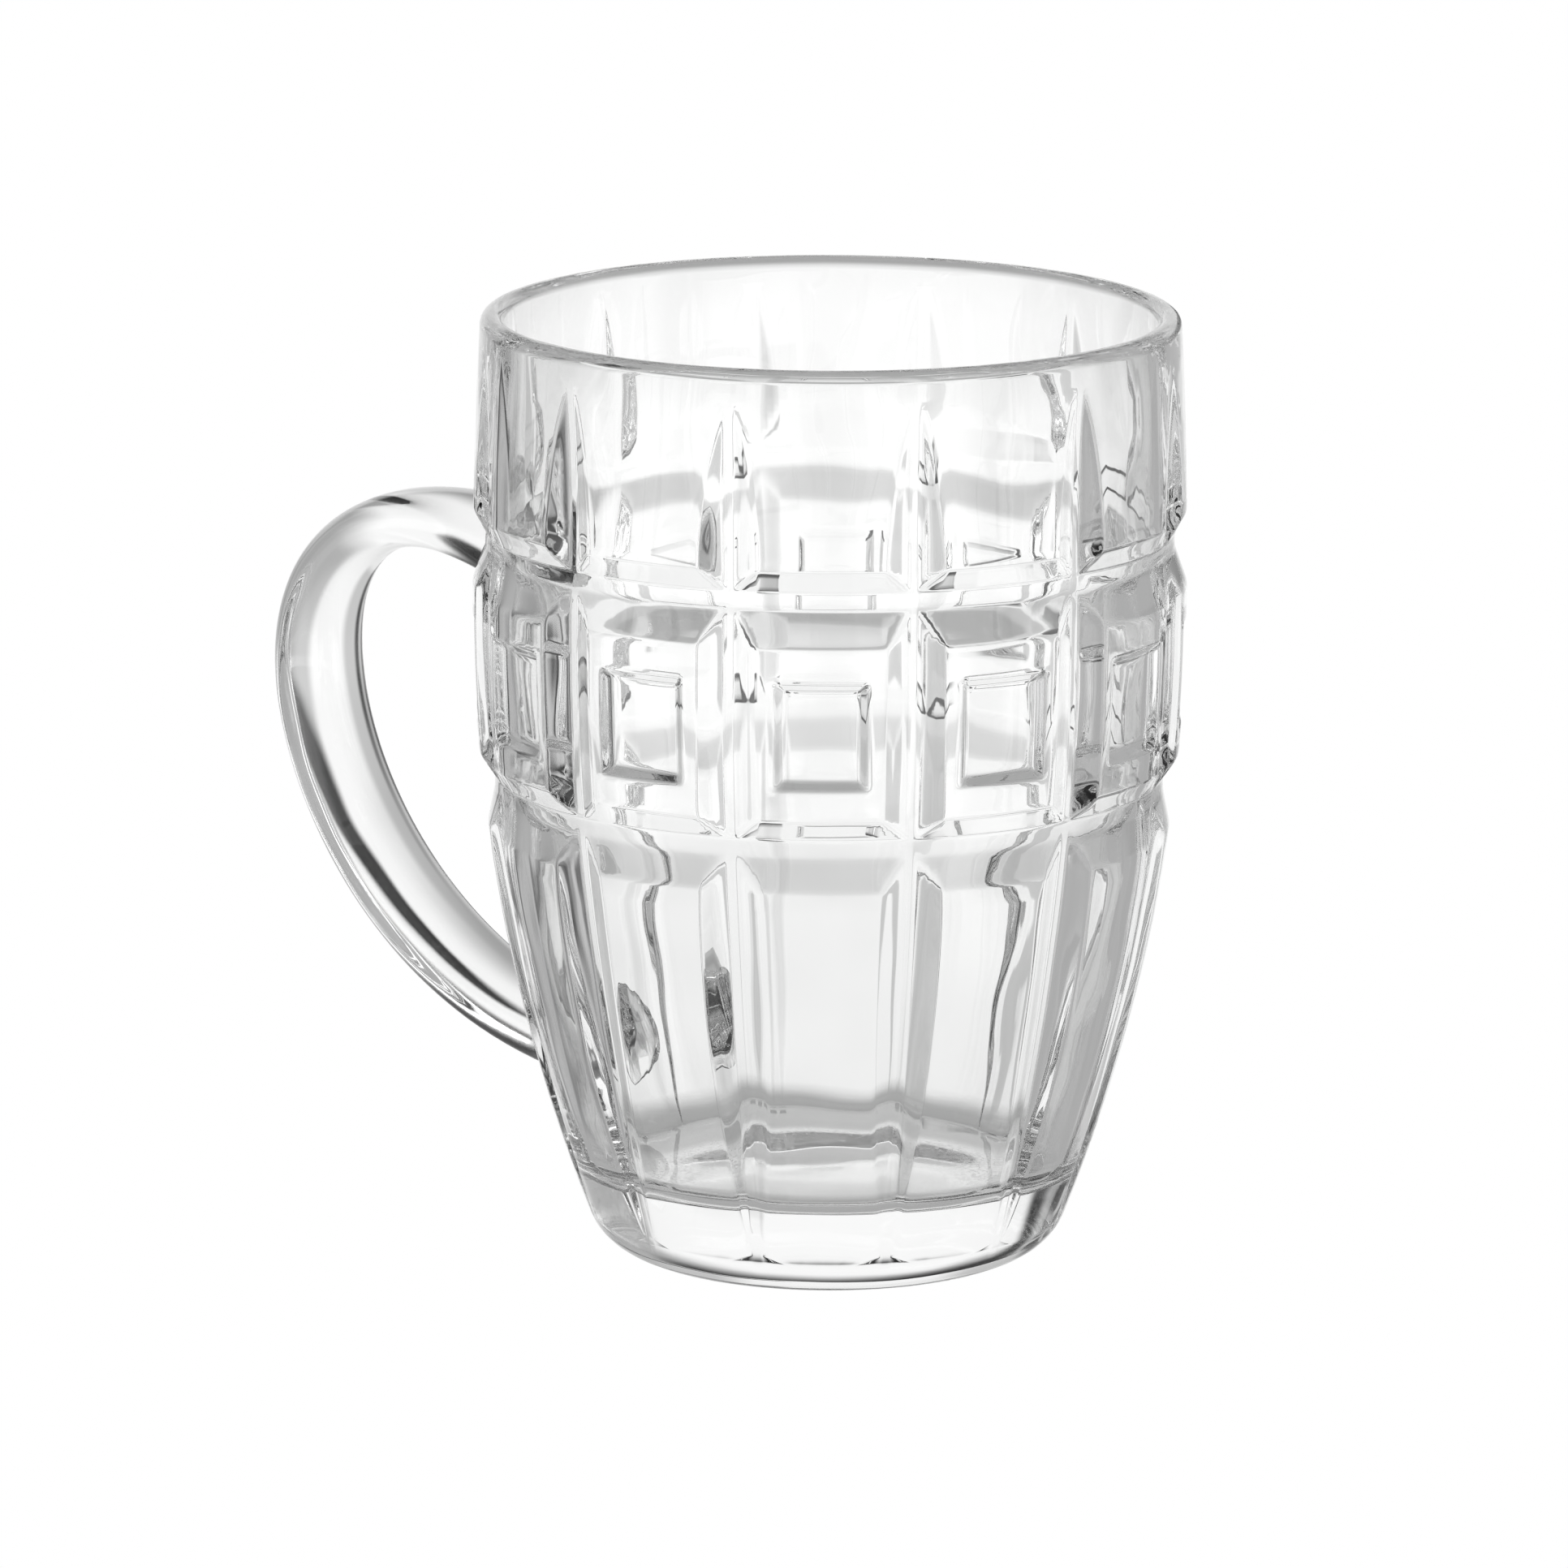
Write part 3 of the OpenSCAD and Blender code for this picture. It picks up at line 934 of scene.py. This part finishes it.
def fuse(
    bowl: bpy.types.Object,
    handle: bpy.types.Object,
    skin: bpy.types.Material,
    inside: bpy.types.Material,
) -> None:
    """Cut the two pieces so that they share one patch, where glass runs on into glass.

    Args:
        bowl: The bowl.
        handle: The bar, which loses its ends in the wall.
        skin: Material of the outside of both.
        inside: Material of the patch that they share.
    """
    bowl.data.materials.append(skin)
    handle.data.materials.append(inside)
    # The bowl is what the joined glass has, less the skin of the bar.
    whole = cut(bowl, handle, Join.UNION)
    bar = cut(handle, bowl, Join.DIFFERENCE)
    bar_skin = [face for face in whole.faces if face.material_index == 1]
    bmesh.ops.delete(whole, geom=bar_skin, context="FACES")
    # The ends of the bar, turned inside out, close the bowl again.
    patch = bar.copy()
    sides = [face for face in patch.faces if face.material_index == 0]
    bmesh.ops.delete(patch, geom=sides, context="FACES")
    bmesh.ops.reverse_faces(patch, faces=patch.faces)
    patch_data = bpy.data.meshes.new("patch")
    patch.to_mesh(patch_data)
    whole.from_mesh(patch_data)
    patch.free()
    bpy.data.meshes.remove(patch_data)
    for mesh, piece in ((whole, bowl), (bar, handle)):
        bmesh.ops.remove_doubles(mesh, verts=mesh.verts, dist=WELD_M)
        for edge in mesh.edges:
            kinds = {face.material_index for face in edge.link_faces}
            edge.smooth = len(kinds) == 1
        for face in mesh.faces:
            face.smooth = True
        mesh.to_mesh(piece.data)
        mesh.free()
    handle.data.materials[0] = skin
    bowl.data.materials.append(inside)
    handle.data.materials.append(inside)


@dataclass
class Sums:
    """Sums that the nodes of a tree do."""

    tree: bpy.types.NodeTree

    def work(self, operation: str, *values: Socket | float) -> Socket:
        """Add a math node.

        Args:
            operation: Blender's name of the operation.
            values: Sockets or numbers for its inputs.

        Returns:
            Its output.
        """
        node = self.tree.nodes.new("ShaderNodeMath")
        node.operation = operation
        for slot, value in zip(node.inputs, values):
            if isinstance(value, Socket):
                self.tree.links.new(value, slot)
            else:
                slot.default_value = value
        return node.outputs[0]

    def within(self, value: Socket, limit: float, edge: float) -> Socket:
        """Tell whether a value is below a limit, with a soft change there.

        Args:
            value: The value.
            limit: The limit.
            edge: Half the width of the soft change.

        Returns:
            One below the limit and zero above it.
        """
        node = self.tree.nodes.new("ShaderNodeMapRange")
        node.interpolation_type = "SMOOTHSTEP"
        node.inputs["From Min"].default_value = limit - edge
        node.inputs["From Max"].default_value = limit + edge
        node.inputs["To Min"].default_value = 1.0
        node.inputs["To Max"].default_value = 0.0
        self.tree.links.new(value, node.inputs["Value"])
        return node.outputs["Result"]


def mould_waves() -> bpy.types.ShaderNodeTree:
    """Node group for the faint waves that a mould leaves in pressed glass.

    Returns:
        The group, which turns a place on the glass into a height in metres.
    """
    group = bpy.data.node_groups.new("mould_waves", "ShaderNodeTree")
    group.interface.new_socket(name="Place", in_out="INPUT", socket_type="NodeSocketVector")
    for name in ("Swell", "Swell Scale", "Ripple", "Ripple Scale"):
        group.interface.new_socket(name=name, in_out="INPUT", socket_type="NodeSocketFloat")
    group.interface.new_socket(name="Height", in_out="OUTPUT", socket_type="NodeSocketFloat")
    start = group.nodes.new("NodeGroupInput")
    end = group.nodes.new("NodeGroupOutput")
    sums = Sums(group)
    heights = []
    for wave in ("Swell", "Ripple"):
        noise = group.nodes.new("ShaderNodeTexNoise")
        noise.inputs["Detail"].default_value = 0.0
        group.links.new(start.outputs["Place"], noise.inputs["Vector"])
        group.links.new(start.outputs[f"{wave} Scale"], noise.inputs["Scale"])
        heights.append(sums.work("MULTIPLY", noise.outputs["Fac"], start.outputs[wave]))
    group.links.new(sums.work("ADD", *heights), end.inputs["Height"])
    return group


@dataclass(frozen=True)
class Glass:
    """Clear pressed glass with faint waves, scuffed where it stands on the table.

    Depths and heights are in metres, and a scale is how often a pattern changes in a metre.
    """

    name: str = "clear_pressed_glass"
    tint: tuple = (0.994, 0.996, 0.994, 1.0)
    ior: float = 1.5
    swell: float = 0.0004
    swell_scale: float = 75.0
    ripple: float = 0.000003
    ripple_scale: float = 300.0
    scuff_top: float = 0.0012
    scuff_roughness: float = 0.28
    scuff_scale: float = 1500.0
    scuff_shares: tuple = (0.35, 0.65)

    def material(self) -> bpy.types.Material:
        """Make the material.

        Returns:
            The material.
        """
        material = bpy.data.materials.new(self.name)
        material.use_nodes = True
        tree = material.node_tree
        shader = tree.nodes["Principled BSDF"]
        shader.inputs["Base Color"].default_value = self.tint
        shader.inputs["Transmission Weight"].default_value = 1.0
        shader.inputs["IOR"].default_value = self.ior
        place = tree.nodes.new("ShaderNodeTexCoord").outputs["Object"]
        waves = tree.nodes.new("ShaderNodeGroup")
        waves.node_tree = mould_waves()
        waves.inputs["Swell"].default_value = self.swell
        waves.inputs["Swell Scale"].default_value = self.swell_scale
        waves.inputs["Ripple"].default_value = self.ripple
        waves.inputs["Ripple Scale"].default_value = self.ripple_scale
        tree.links.new(place, waves.inputs["Place"])
        bump = tree.nodes.new("ShaderNodeBump")
        bump.inputs["Distance"].default_value = 1.0
        tree.links.new(waves.outputs["Height"], bump.inputs["Height"])
        tree.links.new(bump.outputs["Normal"], shader.inputs["Normal"])
        tree.links.new(self.scuffs(tree, place), shader.inputs["Roughness"])
        return material

    def scuffs(self, tree: bpy.types.NodeTree, place: Socket) -> Socket:
        """Roughness of the glass, which is polished apart from the ring that it stands on.

        Args:
            tree: Node tree of the material.
            place: Place on the glass.

        Returns:
            The roughness.
        """
        sums = Sums(tree)
        parts = tree.nodes.new("ShaderNodeSeparateXYZ")
        tree.links.new(place, parts.inputs["Vector"])
        low = sums.within(parts.outputs["Z"], self.scuff_top / 2, self.scuff_top / 2)
        grain = tree.nodes.new("ShaderNodeTexNoise")
        grain.inputs["Scale"].default_value = self.scuff_scale
        tree.links.new(place, grain.inputs["Vector"])
        worn = tree.nodes.new("ShaderNodeMapRange")
        worn.inputs["From Min"].default_value = self.scuff_shares[0]
        worn.inputs["From Max"].default_value = self.scuff_shares[1]
        worn.inputs["To Max"].default_value = self.scuff_roughness
        tree.links.new(grain.outputs["Fac"], worn.inputs["Value"])
        return sums.work("MULTIPLY", low, worn.outputs["Result"])


@dataclass(frozen=True)
class Melt:
    """Patch inside the root of the handle, where glass runs on into glass and nothing shows."""

    name: str = "glass_inside"
    ior: float = 1.0

    def material(self) -> bpy.types.Material:
        """Make the material, which doesn't bend light.

        Returns:
            The material.
        """
        material = bpy.data.materials.new(self.name)
        material.use_nodes = True
        shader = material.node_tree.nodes["Principled BSDF"]
        shader.inputs["Base Color"].default_value = (1.0, 1.0, 1.0, 1.0)
        shader.inputs["Transmission Weight"].default_value = 1.0
        shader.inputs["IOR"].default_value = self.ior
        shader.inputs["Roughness"].default_value = 0.0
        return material


@dataclass(frozen=True)
class Card:
    """Soft-edged card of the surroundings, placed by its direction from the mug, in degrees."""

    turn: float
    rise: float
    half_width: float
    half_height: float
    edge: float
    level: float

    def cover(self, sums: Sums, heading: Socket, height: Socket) -> Socket:
        """How far the card covers a direction.

        Args:
            sums: Sums of the world's node tree.
            heading: Turn of the direction, in degrees.
            height: Rise of the direction, in degrees.

        Returns:
            One on the card and zero off it.
        """
        aside = sums.work("WRAP", sums.work("SUBTRACT", heading, self.turn), HALF_TURN, -HALF_TURN)
        across = sums.within(sums.work("ABSOLUTE", aside), self.half_width, self.edge)
        apart = sums.work("ABSOLUTE", sums.work("SUBTRACT", height, self.rise))
        upward = sums.within(apart, self.half_height, self.edge)
        return sums.work("MULTIPLY", across, upward)


@dataclass
class Studio:
    """Surroundings of soft cards, a white table and the camera.

    A card's turn counts from straight behind the mug, as the camera sees it, and rightwards. Each
    card covers the ones before it in the list.
    """

    camera_distance: float = 1.410
    camera_rise: float = math.radians(12.405)
    camera_turn: float = math.radians(31.277)
    camera_yaw: float = math.radians(-0.249)
    camera_pitch: float = math.radians(-0.022)
    camera_roll: float = math.radians(-0.244)
    target_z: float = 0.065
    focal_pixels: float = 12715.0
    image_pixels: float = 1932.0
    sensor_width: float = 36.0
    table_radius: float = 40.0
    table_sides: int = 96
    table_gap: float = 0.0002
    bounces: int = 40
    white: float = 1.0
    room: float = 0.6
    cards: tuple = (
        # Dark ceiling all round.
        Card(turn=0, rise=56, half_width=181, half_height=33, edge=5, level=0.0),
        # Dark wall on the left, with a grey slit.
        Card(turn=-66, rise=-3, half_width=24, half_height=41, edge=4, level=0.0),
        Card(turn=-59, rise=-3, half_width=6, half_height=41, edge=4, level=0.5),
        # Grey wall on the right, and a bright lamp beside it.
        Card(turn=62, rise=10, half_width=26, half_height=45, edge=10, level=0.43),
        Card(turn=100, rise=-4, half_width=18, half_height=24, edge=6, level=1.4),
        # Wide lamp behind the camera, with two dimmer gaps and a grey screen over its top.
        Card(turn=180, rise=-6, half_width=75, half_height=16, edge=6, level=1.65),
        Card(turn=180, rise=-6, half_width=9, half_height=22, edge=8, level=1.0),
        Card(turn=125, rise=-6, half_width=8, half_height=22, edge=5, level=0.3),
        Card(turn=170, rise=17, half_width=65, half_height=18, edge=5, level=0.4),
        # White backdrop, and a wider white band across its top.
        Card(turn=-4, rise=-9, half_width=19, half_height=28, edge=5, level=1.0),
        Card(turn=-4, rise=12, half_width=40, half_height=6, edge=3, level=1.0),
        # Grey floor all round.
        Card(turn=0, rise=-67, half_width=181, half_height=44, edge=13, level=0.41),
        # Dark strip behind the mug on the right.
        Card(turn=34, rise=-1, half_width=28, half_height=5, edge=2, level=0.05),
    )

    def camera(self) -> None:
        """Stand the camera where the photograph was taken from."""
        data = bpy.data.cameras.new("camera")
        data.sensor_width = self.sensor_width
        data.lens = self.focal_pixels / self.image_pixels * self.sensor_width
        camera = bpy.data.objects.new("camera", data)
        around = Matrix.Rotation(self.camera_turn, 4, "Z")
        back = self.camera_distance * math.cos(self.camera_rise)
        up = self.camera_distance * math.sin(self.camera_rise)
        place = Matrix.Translation((0.0, -back, self.target_z + up))
        tilt = Matrix.Rotation(math.pi / 2 - self.camera_rise, 4, "X")
        yaw = Matrix.Rotation(-self.camera_yaw, 4, "Y")
        pitch = Matrix.Rotation(self.camera_pitch, 4, "X")
        roll = Matrix.Rotation(-self.camera_roll, 4, "Z")
        camera.matrix_world = around @ place @ tilt @ yaw @ pitch @ roll
        bpy.context.scene.collection.objects.link(camera)
        bpy.context.scene.camera = camera

    def surroundings(self) -> None:
        """Light the mug from the cards. The camera itself sees plain white behind it."""
        world = bpy.data.worlds.new("studio")
        world.use_nodes = True
        tree = world.node_tree
        sums = Sums(tree)
        coords = tree.nodes.new("ShaderNodeTexCoord")
        turned_back = tree.nodes.new("ShaderNodeVectorRotate")
        turned_back.rotation_type = "Z_AXIS"
        turned_back.inputs["Angle"].default_value = -self.camera_turn
        tree.links.new(coords.outputs["Generated"], turned_back.inputs["Vector"])
        parts = tree.nodes.new("ShaderNodeSeparateXYZ")
        tree.links.new(turned_back.outputs["Vector"], parts.inputs["Vector"])
        heading = sums.work("ARCTAN2", parts.outputs["X"], parts.outputs["Y"])
        heading = sums.work("MULTIPLY", heading, math.degrees(1.0))
        height = sums.work("MAXIMUM", sums.work("MINIMUM", parts.outputs["Z"], 1.0), -1.0)
        height = sums.work("MULTIPLY", sums.work("ARCSINE", height), math.degrees(1.0))
        level = self.room
        for card in self.cards:
            change = sums.work("SUBTRACT", card.level, level)
            level = sums.work("MULTIPLY_ADD", card.cover(sums, heading, height), change, level)
        seen = tree.nodes.new("ShaderNodeLightPath").outputs["Is Camera Ray"]
        change = sums.work("SUBTRACT", self.white, level)
        level = sums.work("MULTIPLY_ADD", seen, change, level)
        tree.links.new(level, tree.nodes["Background"].inputs["Color"])
        bpy.context.scene.world = world

    def table(self) -> None:
        """Lay a white table, which shows to the camera alone and lights nothing."""
        mesh = bmesh.new()
        sides = self.table_sides
        bmesh.ops.create_circle(mesh, cap_ends=True, segments=sides, radius=self.table_radius)
        bmesh.ops.translate(mesh, vec=(0.0, 0.0, -self.table_gap), verts=mesh.verts)
        data = bpy.data.meshes.new("table")
        mesh.to_mesh(data)
        mesh.free()
        table = bpy.data.objects.new("table", data)
        bpy.context.scene.collection.objects.link(table)
        material = bpy.data.materials.new("pale_table")
        material.use_nodes = True
        tree = material.node_tree
        tree.nodes.remove(tree.nodes["Principled BSDF"])
        glow = tree.nodes.new("ShaderNodeEmission")
        glow.inputs["Strength"].default_value = self.white
        clear = tree.nodes.new("ShaderNodeBsdfTransparent")
        path = tree.nodes.new("ShaderNodeLightPath")
        mix = tree.nodes.new("ShaderNodeMixShader")
        tree.links.new(path.outputs["Is Camera Ray"], mix.inputs["Fac"])
        tree.links.new(clear.outputs["BSDF"], mix.inputs[1])
        tree.links.new(glow.outputs["Emission"], mix.inputs[2])
        tree.links.new(mix.outputs["Shader"], tree.nodes["Material Output"].inputs["Surface"])
        data.materials.append(material)

    def build(self) -> None:
        """Set up the camera, the surroundings, the table and how light is followed."""
        self.camera()
        self.surroundings()
        self.table()
        scene = bpy.context.scene
        scene.view_settings.view_transform = "Standard"
        scene.cycles.max_bounces = self.bounces
        scene.cycles.transmission_bounces = self.bounces
        scene.cycles.transparent_max_bounces = self.bounces
        scene.cycles.glossy_bounces = self.bounces


def main() -> None:
    """Build the mug piece by piece and the studio round it."""
    logging.basicConfig(level=logging.INFO, format="%(name)s: %(message)s")
    low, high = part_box("bowl")
    wall = Wall(height=round(high.z / MM, 1), belly_d=round((high.x - low.x) / MM, 1))
    bowl = Bowl(wall).build("bowl_glass")
    LOG.info("bowl_glass: %d faces", len(bowl.data.polygons))
    handle = Handle(wall).build("handle_glass")
    LOG.info("handle_glass: %d faces", len(handle.data.polygons))
    fuse(bowl, handle, Glass().material(), Melt().material())
    for piece, node in ((bowl, "bowl"), (handle, "handle")):
        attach(piece, BODY)
        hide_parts(node)
    Studio().build()


if __name__ == "__main__":
    main()
